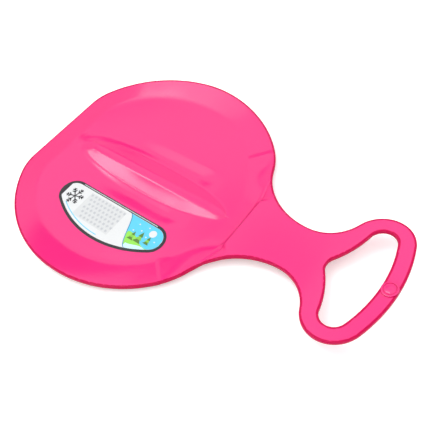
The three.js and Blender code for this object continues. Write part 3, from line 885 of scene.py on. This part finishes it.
class SLIDER_OT_body(bpy.types.Operator):
    """Moulds the body: a flat half blank is bevelled, hollowed, pressed and mirrored"""

    bl_idname = "slider.body"
    bl_label = "Slider body"

    def execute(self, context):
        scene = context.scene
        form = Slider(scene.slider_outline, scene.slider_form)
        blank = self.half_blank(form)
        self.shape_edge(blank, form)
        self.cut(form)
        bpy.ops.object.mode_set(mode="OBJECT")
        self.press(blank, form)
        self.mirror(blank)
        place(blank, "body_plastic", finish_of("moulded_polyethylene"), "slider_body")
        return {"FINISHED"}

    def half_blank(self, form):
        """A flat blank of one half, open on the middle plane, in edit mode."""
        outer = trace(form.outline_arcs, OUTLINE_STEP)
        opening = trace(form.opening_arcs, OPENING_STEP)
        outer[0] = (outer[0][0], 0)
        opening[0] = (opening[0][0], 0)
        opening[-1] = (opening[-1][0], 0)
        ring = outer + [(0, 0)] + list(reversed(opening))
        blank = flat_face("slider_moulding", ring)
        edit(blank, "FACE")
        bpy.ops.mesh.select_all(action="SELECT")
        extrude(-form.edge_depth)
        pick(blank, "faces", on_middle)
        bpy.ops.mesh.delete(type="FACE")
        face_outwards()
        return blank

    def shape_edge(self, blank, form):
        """Rounds the upper edge, insets its strips and hollows the blank from below."""
        bpy.ops.mesh.select_mode(type="EDGE")
        pick(blank, "edges", lambda e: len(e.link_faces) == 2 and on_top(e))
        bpy.ops.mesh.bevel(
            offset=form.edge_round,
            segments=EDGE_ROUND_SEGMENTS,
            affect="EDGES",
            clamp_overlap=False,
        )
        bpy.ops.mesh.select_mode(type="FACE")
        pick(blank, "faces", on_top)
        # Two strips along the edge, which take the painted shade.
        bpy.ops.mesh.inset(thickness=EDGE_SHADE_WIDTH, use_boundary=False)
        bpy.ops.mesh.inset(thickness=EDGE_SHADE_FADE, use_boundary=False)
        floor_z = NEAR - form.edge_depth
        pick(blank, "faces", lambda f: all(v.co.z < floor_z for v in f.verts))
        bpy.ops.mesh.inset(thickness=form.edge_lip_width, use_boundary=False)
        extrude(form.edge_depth - form.sheet_thickness)
        pick(blank, "faces", on_middle)
        bpy.ops.mesh.delete(type="FACE")

    def cut(self, form):
        """Cuts the blank into a grid, finer where the form bends."""
        along = grid(
            1.5,
            (40, 2.2),
            (form.channel_front_x - 24, 4.5),
            (form.step_foot_x - 8, 2.2),
            (form.step_top_x + 12, 1.2),
            (form.bend_start_x, 8),
            (form.bend_start_x + BEND_LENGTH, 4),
            (form.total - 2, 12),
        )
        across = grid(
            0,
            (RIDGE_TOP_HALF, 2),
            (GRID_FOOT, 1.25),
            (form.channel_outer_y, 1.6),
            (GRID_SIDE[0], 4),
            (GRID_SIDE[1], 2),
            (form.plate_radius - 1, 4),
        )
        cut_across(0, along)
        cut_across(1, across[1:])

    def press(self, blank, form):
        """Moves the blank to the form, and marks its edge for the painted shade."""
        edge = {v.index for v in blank.data.vertices if v.co.z < WALL_TOP}
        for _ in range(2):
            touched = [f for f in blank.data.polygons if edge.intersection(f.vertices)]
            edge.update(i for f in touched for i in f.vertices)
        # Painted shade: these vertices take the darker edge colour.
        edge_shade_mask = blank.data.attributes.new("edge", "FLOAT", "POINT")
        for i in edge:
            edge_shade_mask.data[i].value = 1.0
        for vertex in blank.data.vertices:
            x, y, z = vertex.co
            y = self.beside_ridge(form, x, y)
            z += form.surface(x, y)
            vertex.co = ((x - form.total / 2) * MM, y * MM, z * MM)

    def beside_ridge(self, form, x, y):
        """Draws the grid in across, so that its lines follow the crest and the foot."""
        outer = form.sole_inner_y
        rear_x = RIDGE_REAR_X - GRID_BEFORE_RIDGE
        if not (NEAR < y < outer and rear_x < x < form.step_foot_x):
            return y
        top = max(GRID_LEAST_TOP, form.ridge_top(x))
        half = max(GRID_LEAST_HALF, form.ridge_half(x))
        if y <= RIDGE_TOP_HALF:
            return y * top / RIDGE_TOP_HALF
        if y <= GRID_FOOT:
            return top + (half - top) * (y - RIDGE_TOP_HALF) / GRID_FACE_WIDTH
        return half + (outer - half) * (y - GRID_FOOT) / (outer - GRID_FOOT)

    def mirror(self, blank):
        """Adds the other half and closes the seam in the middle."""
        mirror = blank.modifiers.new("other_half", "MIRROR")
        mirror.use_axis = (False, True, False)
        mirror.use_clip = True
        mirror.merge_threshold = 0.00002
        bpy.ops.object.modifier_apply(modifier=mirror.name)
        edit(blank, "VERT")
        # The order of the vertices settles which of two close ones stays.
        mesh = bmesh.from_edit_mesh(blank.data)
        mesh.verts.sort(key=lambda v: v.co.dot(Vector(SORT_DIRECTION)))
        bmesh.update_edit_mesh(blank.data)
        bpy.ops.mesh.select_all(action="SELECT")
        bpy.ops.mesh.remove_doubles(threshold=0.00001)
        face_outwards()
        bpy.ops.object.mode_set(mode="OBJECT")
        bpy.ops.object.shade_smooth_by_angle(angle=math.radians(38))


class SLIDER_OT_medallion(bpy.types.Operator):
    """Turns the round medallion with its domed middle on the end bar of the handle"""

    bl_idname = "slider.medallion"
    bl_label = "Handle medallion"

    def execute(self, context):
        form = Slider(context.scene.slider_outline, context.scene.slider_form)
        x = form.total - form.end_bar_width / 2
        profile = self.profile()
        radius, root = profile[0]
        bpy.ops.object.select_all(action="DESELECT")
        bpy.ops.mesh.primitive_circle_add(
            vertices=MEDALLION_SIDES, radius=radius * MM, fill_type="NGON"
        )
        piece = context.object
        piece.name = piece.data.name = "handle_medallion"
        edit(piece, "FACE")
        bpy.ops.mesh.select_all(action="SELECT")
        bpy.ops.transform.translate(value=(0, 0, root * MM))
        for (near, low), (far, high) in zip(profile, profile[1:]):
            extrude((high - low) * MM)
            grow = max(far, MEDALLION_POLE) / max(near, MEDALLION_POLE)
            centre = (0, 0, high * MM)
            bpy.ops.transform.resize(value=(grow, grow, 1), center_override=centre)
        bpy.ops.mesh.select_all(action="SELECT")
        bpy.ops.mesh.remove_doubles(threshold=0.000002)
        face_outwards()
        bpy.ops.object.mode_set(mode="OBJECT")
        lean = Matrix.Rotation(-math.atan(HANDLE_SLOPE), 4, "Y")
        seat = Vector(((x - form.total / 2) * MM, 0, form.surface(x, 0) * MM))
        piece.data.transform(Matrix.Translation(seat) @ lean)
        bpy.ops.object.shade_smooth_by_angle(angle=math.radians(35))
        place(piece, "body_plastic", finish_of("moulded_polyethylene"))
        return {"FINISHED"}

    def profile(self):
        """Radius and height of each ring, from the root to the top of the dome."""
        r, h, edge = MEDALLION_RADIUS, MEDALLION_HEIGHT, MEDALLION_EDGE
        dome, low = MEDALLION_DOME_RADIUS, MEDALLION_HEIGHT - MEDALLION_GROOVE_DEPTH
        rings = [(r, -MEDALLION_ROOT), (r, h - edge)]
        rings += [(r - 0.3 * edge, h - 0.3 * edge), (r - edge, h)]
        rings += [(dome + MEDALLION_GROOVE_MOUTH, h)]
        rings += [(dome + MEDALLION_GROOVE_FLOOR, low), (dome, low)]
        for i in range(1, MEDALLION_DOME_RINGS):
            a = math.pi / 2 * i / MEDALLION_DOME_RINGS
            rings.append((dome * math.cos(a), low + MEDALLION_DOME_HEIGHT * math.sin(a)))
        return rings + [(0, low + MEDALLION_DOME_HEIGHT)]


class LabelPlan:
    """The outline of the sticker and the places of its print, in millimetres.

    u runs along the straight side from the middle, v is zero there and falls."""

    def __init__(self, form):
        self.straight_y = form.channel_outer_y + LABEL_CHANNEL_GAP
        self.depth = form.floor_radius - self.straight_y - LABEL_FLOOR_GAP
        self.round = self.depth / 3
        end_y = self.straight_y + self.round
        reach = math.sqrt(form.floor_radius**2 - end_y**2) - LABEL_END_GAP
        self.half = reach - LABEL_PAST_CENTRE
        self.wide = (
            (self.half - self.round) ** 2
            + (self.depth - self.round) ** 2
            - self.round**2
        ) / (2 * (self.depth - 2 * self.round))
        self.origin = (
            form.plate[0] + LABEL_PAST_CENTRE - form.total / 2,
            -self.straight_y,
        )
        self.floor = form.floor_height

    def outline(self):
        end = (self.half - self.round, -self.round)
        wide = (0, self.wide - self.depth)
        lean = math.atan2(wide[1] - end[1], end[0])
        arcs = [
            (end, self.round, math.pi / 2, -lean),
            (wide, self.wide, -lean, lean - math.pi),
            ((-end[0], end[1]), self.round, lean - math.pi, -1.5 * math.pi),
        ]
        return trace(arcs, PRINT_STEP)

    def high(self, u, margin):
        """Upper bound at u of the film without a margin along its edge."""
        beside = abs(u) - (self.half - self.round)
        if beside <= 0:
            return -margin
        return math.sqrt(max(0.0, (self.round - margin) ** 2 - beside**2)) - self.round

    def low(self, u, margin):
        """Lower bound at u of the film without a margin along its edge."""
        wide = self.wide - margin
        lean = math.atan2(self.wide - self.depth + self.round, self.half - self.round)
        if abs(u) < wide * math.cos(lean):
            return self.wide - self.depth - math.sqrt(wide**2 - u**2)
        beside = abs(u) - (self.half - self.round)
        return -math.sqrt(max(0.0, (self.round - margin) ** 2 - beside**2)) - self.round

    def band(self, left, right, upper, lower, step=PRINT_STEP):
        """A closed outline between two curves over u."""
        count = max(2, round((right - left) / step))
        run = [left + (right - left) * i / count for i in range(count + 1)]
        return [(u, lower(u)) for u in run] + [(u, upper(u)) for u in reversed(run)]

    def lay(self, points, height):
        """Places on the film, at a height over the seat, in metres."""
        return [
            (
                (self.origin[0] + u) * MM,
                (self.origin[1] + v) * MM,
                (self.floor + height) * MM,
            )
            for u, v in points
        ]


def film_piece(name, points, thickness, finish):
    """A thin flat piece of film or ink, from its outline at its lower face."""
    piece = flat_face(name, points)
    edit(piece, "FACE")
    bpy.ops.mesh.select_all(action="SELECT")
    extrude(thickness * MM)
    face_outwards()
    bpy.ops.object.mode_set(mode="OBJECT")
    piece.data.materials.append(finish)
    return piece


def disc(centre, radius, sides):
    return [polar(centre, radius, 2 * math.pi * i / sides) for i in range(sides)]


def bar(start, turn, length, width):
    """A straight bar from the middle of one end."""
    far = polar(start, length, turn)
    across = turn + math.pi / 2
    ends = ((start, -width / 2), (far, -width / 2), (far, width / 2), (start, width / 2))
    return [polar(end, aside, across) for end, aside in ends]


class SeatPrint:
    """The sticker as it is printed: its film, then inks in numbered layers."""

    def __init__(self, plan, film, border):
        self.plan = plan
        self.border = border
        self.top = FILM_LIFT + film
        outline = plan.lay(plan.outline(), FILM_LIFT)
        self.parts = [film_piece("film", outline, film, finish_of("ink_charcoal"))]

    def ink(self, name, points, layer, finish):
        """Prints one closed outline."""
        points = self.plan.lay(points, self.top + INK_THICKNESS * (layer - 1))
        piece = film_piece(name, points, INK_THICKNESS, finish_of(finish))
        self.parts.append(piece)
        return piece

    def repeat(self, piece, start, stop, turn=0.0, size=1.0, layers=0):
        """Prints a piece again at another place, turned, scaled or layers higher."""
        back = Matrix.Translation(-Vector(self.plan.lay([start], 0)[0]))
        there = Matrix.Translation(self.plan.lay([stop], INK_THICKNESS * layers)[0])
        shape = Matrix.Rotation(turn, 4, "Z") @ Matrix.Diagonal((size, size, 1, 1))
        self.parts.append(copy_of(piece, there @ shape @ back))

    def gather(self, name, first):
        """Joins all that was printed since the part with this number."""
        piece = join_pieces(name, self.parts[first:])
        self.parts[first:] = [piece]
        return piece

    def field(self):
        """The white field, with a broader border at its rear end."""
        left = LABEL_END_BORDER - self.plan.half
        right = self.plan.half - self.border - FIELD_GAP

        def top(u):
            return self.plan.high(u, self.border)

        def bottom(u):
            return self.plan.low(u, self.border)

        self.ink("field", self.plan.band(left, right, top, bottom), 1, "ink_white")

    def scenery(self):
        """A winter hillside with firs under a blue sky, at the front end."""
        margin = self.border + PICTURE_MARGIN
        right = self.plan.half - self.border - 2 * FIELD_GAP

        def top(u):
            return self.plan.high(u, margin)

        def bottom(u):
            return self.plan.low(u, margin)

        def drift(u):
            """Edge of the snow drift that closes the picture towards the middle."""
            down = smooth((u - DRIFT_START) / DRIFT_LENGTH)
            return top(u) + (bottom(u) - top(u)) * down

        def ground(u):
            return max(drift(u), bottom(u))

        sky = self.plan.band(DRIFT_START, right, top, drift)
        self.ink("sky", sky, 2, "ink_sky")
        run = [DRIFT_START + DRIFT_LENGTH * i / 20 for i in range(21)]
        edge = [(u, drift(u)) for u in run]
        line = edge + [(u + DRIFT_LINE[0], v + DRIFT_LINE[1]) for u, v in reversed(edge)]
        self.ink("rim_line", line, 6, "ink_deep")
        for name, layer, finish, left, level, height, start, length, fall in HILLS:
            hill = self.plan.band(
                left,
                right,
                lambda u: max(
                    level + height * math.sin((u - start) / length) - fall * u, ground(u)
                ),
                ground,
            )
            self.ink(name, hill, layer, finish)
        self.firs()
        self.ink("moon", disc(MOON, MOON_RADIUS, sides=20), 3, "ink_white")
        flake = disc(FLAKES[0], FLAKE_RADIUS, sides=8)
        flake = self.ink("flake", flake, 3, "ink_white")
        for other in FLAKES[1:]:
            self.repeat(flake, FLAKES[0], other)

    def firs(self):
        """One fir of three tiers, and its copies in other sizes."""
        first = len(self.parts)
        (u, foot, size), *others = FIRS
        for k, (half, low) in enumerate(FIR_TIERS):
            wide = size * half
            base = foot + size * low
            top = base + size * FIR_TIER_HEIGHT
            tier = [(u - wide, base), (u + wide, base), (u, top)]
            self.ink("tier", tier, 7 + k, "ink_green" if k % 2 else "ink_fir")
        fir = self.gather("fir", first)
        for other_u, other_foot, other_size in others:
            self.repeat(fir, (u, foot), (other_u, other_foot), size=other_size / size)

    def crystal(self, centre, radius, width, layer, finish, barbs=()):
        """A six-armed snow crystal from one arm. Barbs sit in pairs along each arm."""
        first = len(self.parts)
        self.ink("arm", bar(centre, CRYSTAL_TURN, radius, width), layer, finish)
        for along, length in barbs:
            root = polar(centre, radius * along, CRYSTAL_TURN)
            for side in (-1, 1):
                turn = CRYSTAL_TURN + side * math.pi / 4
                barb = bar(root, turn, radius * length, width)
                self.ink("barb", barb, layer + 3 + (side > 0), finish)
        arm, *feathers = self.parts[first:]
        for k in range(1, 6):
            turn = math.pi * k / 3
            self.repeat(arm, centre, centre, turn, layers=k % 3)
            for barb in feathers:
                self.repeat(barb, centre, centre, turn)
        return self.gather("crystal", first)

    def crystals(self):
        """Grey rows of small snow crystals and one large dark one at the rear end."""
        plan = self.plan
        panel = plan.band(
            *PANEL_ENDS,
            lambda u: PANEL_TOP,
            lambda u: max(PANEL_BOTTOM, plan.low(u, PANEL_MARGIN)),
            3,
        )
        self.ink("panel", panel, 2, "ink_pale")
        self.crystal(
            LARGE_CRYSTAL,
            LARGE_CRYSTAL_RADIUS,
            LARGE_CRYSTAL_ARM_WIDTH,
            2,
            "ink_charcoal",
            LARGE_CRYSTAL_BARBS,
        )
        centres = []
        for row in range(CRYSTAL_ROWS):
            for k in range(CRYSTAL_COLUMNS):
                u = CRYSTAL_START[0] + CRYSTAL_GAP * (k + row % 2 / 2)
                v = CRYSTAL_START[1] - CRYSTAL_GAP * row
                within = CRYSTAL_ENDS[0] + row <= u <= CRYSTAL_ENDS[1]
                if within and v >= plan.low(u, CRYSTAL_MARGIN):
                    centres.append((u, v))
        first, *others = centres
        small = self.crystal(first, CRYSTAL_RADIUS, CRYSTAL_ARM_WIDTH, 3, "ink_grey")
        for other in others:
            self.repeat(small, first, other)
        sweep = plan.band(
            *SWEEP_ENDS,
            lambda u: plan.low(u, SWEEP_MARGIN) + SWEEP_WIDTH,
            lambda u: plan.low(u, SWEEP_MARGIN),
        )
        self.ink("sweep", sweep, 2, "ink_sky")

    def pinstripe(self):
        """A white pinstripe in the border along the straight side."""
        reach = self.plan.half - self.plan.round - PINSTRIPE_END_GAP
        upper, lower = PINSTRIPE
        stripe = self.plan.band(-reach, reach, lambda u: upper, lambda u: lower, 12)
        self.ink("pinstripe", stripe, 1, "ink_white")


class SLIDER_OT_label(bpy.types.Operator):
    """Lays the printed sticker on the seat: dark border, white field and a winter scene"""

    bl_idname = "slider.label"
    bl_label = "Seat label"

    def execute(self, context):
        scene = context.scene
        plan = LabelPlan(Slider(scene.slider_outline, scene.slider_form))
        sizes = scene.slider_label
        sticker = SeatPrint(plan, sizes.thickness / MM, sizes.border / MM)
        sticker.field()
        sticker.scenery()
        sticker.crystals()
        sticker.pinstripe()
        piece = sticker.gather("seat_label", 0)
        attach(piece, "root")
        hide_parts("label")
        return {"FINISHED"}


class SLIDER_OT_finishes(bpy.types.Operator):
    """Makes the moulded plastic and the printed inks"""

    bl_idname = "slider.finishes"
    bl_label = "Finishes"

    def execute(self, context):
        colours = context.scene.slider_colours
        polyethylene_material(list(colours.plastic), list(colours.edge))
        for name, ink, roughness in (
            ("ink_white", colours.film, 0.34),
            ("ink_charcoal", colours.charcoal, 0.3),
            ("ink_grey", colours.grey, 0.34),
            ("ink_sky", colours.sky, 0.32),
            ("ink_ice", colours.ice, 0.32),
            ("ink_leaf", colours.leaf, 0.32),
            ("ink_green", dimmed(colours.leaf, 0.8), 0.32),
            ("ink_deep", colours.deep, 0.32),
            ("ink_pale", dimmed(colours.film, 0.9), 0.34),
            ("ink_fir", dimmed(colours.leaf, 0.3), 0.32),
        ):
            printed_material(name, list(ink), roughness)
        return {"FINISHED"}


class SLIDER_OT_stage(bpy.types.Operator):
    """Sets the pale floor, the surrounding room, the side screen and the camera"""

    bl_idname = "slider.stage"
    bl_label = "Stage"

    def execute(self, context):
        self.floor(context)
        self.room(context)
        self.screen(context)
        self.camera(context)
        context.scene.view_settings.view_transform = "Standard"
        return {"FINISHED"}

    def floor(self, context):
        settings = context.scene.slider_stage
        bpy.ops.object.select_all(action="DESELECT")
        bpy.ops.mesh.primitive_plane_add(size=settings.floor_size)
        floor = context.object
        floor.name = floor.data.name = "studio_floor"
        floor.data.transform(Matrix.Translation((0, 0, -FLOOR_DROP * MM)))
        material, tree = fresh_material("white_paper_floor")
        # Paper that the camera and the gloss see a little brighter than it is, so that
        # only the shadow close to the slider shows.
        rays = node(tree, "ShaderNodeLightPath")
        seen = node(
            tree,
            "ShaderNodeMath",
            [(0, rays, "Is Camera Ray"), (1, rays, "Is Glossy Ray")],
            operation="MAXIMUM",
        )
        lift = node(tree, "ShaderNodeMath", [(0, seen, "Value")], operation="MULTIPLY")
        lift.inputs[1].default_value = settings.floor_lift
        paper = node(tree, "ShaderNodeBsdfDiffuse", Color=list(settings.floor_tone))
        shine = node(tree, "ShaderNodeEmission", [("Strength", lift, "Value")])
        both = node(
            tree, "ShaderNodeAddShader", [(0, paper, "BSDF"), (1, shine, "Emission")]
        )
        node(tree, "ShaderNodeOutputMaterial", [("Surface", both, "Shader")])
        floor.data.materials.append(material)

    def room(self, context):
        """Walls with a doorway, a ceiling and soft boxes. The camera sees plain white."""
        settings = context.scene.slider_stage
        world = context.scene.world or bpy.data.worlds.new("room")
        context.scene.world = world
        world.use_nodes = True
        tree = world.node_tree
        tree.nodes.clear()
        place_in = node(tree, "ShaderNodeTexCoord")
        split = node(tree, "ShaderNodeSeparateXYZ", [("Vector", place_in, "Generated")])

        def spot(turn, rise, outer, inner, far, near):
            """A level around one direction, blending between two angles from it."""
            a, e = math.radians(turn), math.radians(rise)
            aim = node(
                tree,
                "ShaderNodeVectorMath",
                [(0, place_in, "Generated")],
                operation="DOT_PRODUCT",
            )
            aim.inputs[1].default_value = (
                math.cos(a) * math.cos(e),
                math.sin(a) * math.cos(e),
                math.sin(e),
            )
            return node(
                tree,
                "ShaderNodeMapRange",
                [("Value", aim, "Value")],
                From_Min=math.cos(math.radians(outer)),
                From_Max=math.cos(math.radians(inner)),
                To_Min=far,
                To_Max=near,
            )

        # Walls with a dark doorway, which is two spots wide.
        levels = (settings.wall_level, settings.door_level)
        wall, beside = (spot(*door, *levels) for door in DOORWAY)
        wall = node(
            tree,
            "ShaderNodeMath",
            [(0, wall, "Result"), (1, beside, "Result")],
            operation="MINIMUM",
        )
        # The ceiling starts 39 degrees up, and is dimmer in one place.
        dim = settings.ceiling_level * DIM_SHARE
        ceiling = spot(*DIM_CEILING, settings.ceiling_level, dim)
        start, stop = (math.sin(math.radians(rise)) for rise in CEILING_EDGE)
        total = node(
            tree,
            "ShaderNodeMapRange",
            [
                ("Value", split, "Z"),
                ("To Min", wall, "Value"),
                ("To Max", ceiling, "Result"),
            ],
            From_Min=start,
            From_Max=stop,
        )
        leave = "Result"
        for soft_box, level in SOFT_BOXES:
            light = spot(*soft_box, 0, settings.box_level * level)
            total = node(
                tree,
                "ShaderNodeMath",
                [(0, total, leave), (1, light, "Result")],
                operation="MAXIMUM",
            )
            leave = "Value"
        rays = node(tree, "ShaderNodeLightPath")
        seen = node(
            tree,
            "ShaderNodeMix",
            [(0, rays, "Is Camera Ray"), (2, total, "Value")],
            data_type="FLOAT",
        )
        seen.inputs[3].default_value = 1.0
        white = (1, 1, 1, 1)
        back = node(tree, "ShaderNodeBackground", [("Strength", seen, 0)], Color=white)
        node(tree, "ShaderNodeOutputWorld", [("Surface", back, "Background")])

    def screen(self, context):
        """A faint screen beside the rear edge."""
        width, height = SCREEN_SIZE
        data = bpy.data.lights.new("screen", "AREA")
        data.shape = "RECTANGLE"
        data.size, data.size_y = SCREEN_SIZE
        data.energy = context.scene.slider_stage.screen_level * math.pi * width * height
        lamp = bpy.data.objects.new("screen", data)
        turn = Vector(SCREEN_PLACE).to_track_quat("Z", "Y").to_matrix().to_4x4()
        lamp.matrix_world = Matrix.Translation(SCREEN_PLACE) @ turn
        lamp.visible_camera = False
        context.scene.collection.objects.link(lamp)

    def camera(self, context):
        """The camera stands where the mirror symmetry of the outline puts it."""
        data = bpy.data.cameras.new("view")
        camera = bpy.data.objects.new("view", data)
        context.scene.collection.objects.link(camera)
        turn = Matrix((CAMERA_RIGHT, CAMERA_UP, CAMERA_BACK)).transposed().to_4x4()
        camera.matrix_world = Matrix.Translation(CAMERA_PLACE) @ turn
        data.sensor_width = CAMERA_SENSOR
        data.lens = CAMERA_LENGTH * CAMERA_SENSOR
        data.clip_end = 100
        context.scene.camera = camera


class SLIDER_PT_panel(bpy.types.Panel):
    """Lists the pieces of the snow slider"""

    bl_idname = "SLIDER_PT_panel"
    bl_label = "Snow slider"
    bl_space_type = "VIEW_3D"
    bl_region_type = "UI"
    bl_category = "Snow slider"

    def draw(self, context):
        layout = self.layout
        for kind in OPERATORS:
            layout.operator(kind.bl_idname)
        for group in ("outline", "form", "label", "colours", "stage"):
            settings = getattr(context.scene, f"slider_{group}")
            box = layout.box()
            for key in settings.__annotations__:
                box.prop(settings, key)


OPERATORS = (
    SLIDER_OT_finishes,
    SLIDER_OT_body,
    SLIDER_OT_medallion,
    SLIDER_OT_label,
    SLIDER_OT_stage,
)
GROUPS = {
    "slider_outline": SliderOutline,
    "slider_form": SliderForm,
    "slider_label": LabelSizes,
    "slider_colours": FinishColours,
    "slider_stage": StageSettings,
}


def register():
    for kind in (*GROUPS.values(), *OPERATORS, SLIDER_PT_panel):
        bpy.utils.register_class(kind)
    for name, kind in GROUPS.items():
        setattr(bpy.types.Scene, name, PointerProperty(type=kind))


def unregister():
    for name in GROUPS:
        delattr(bpy.types.Scene, name)
    for kind in (SLIDER_PT_panel, *reversed(OPERATORS), *GROUPS.values()):
        bpy.utils.unregister_class(kind)


def main():
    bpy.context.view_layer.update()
    register()
    bpy.ops.slider.finishes()
    bpy.ops.slider.body()
    bpy.ops.slider.medallion()
    bpy.ops.slider.label()
    bpy.ops.slider.stage()


if __name__ == "__main__":
    main()
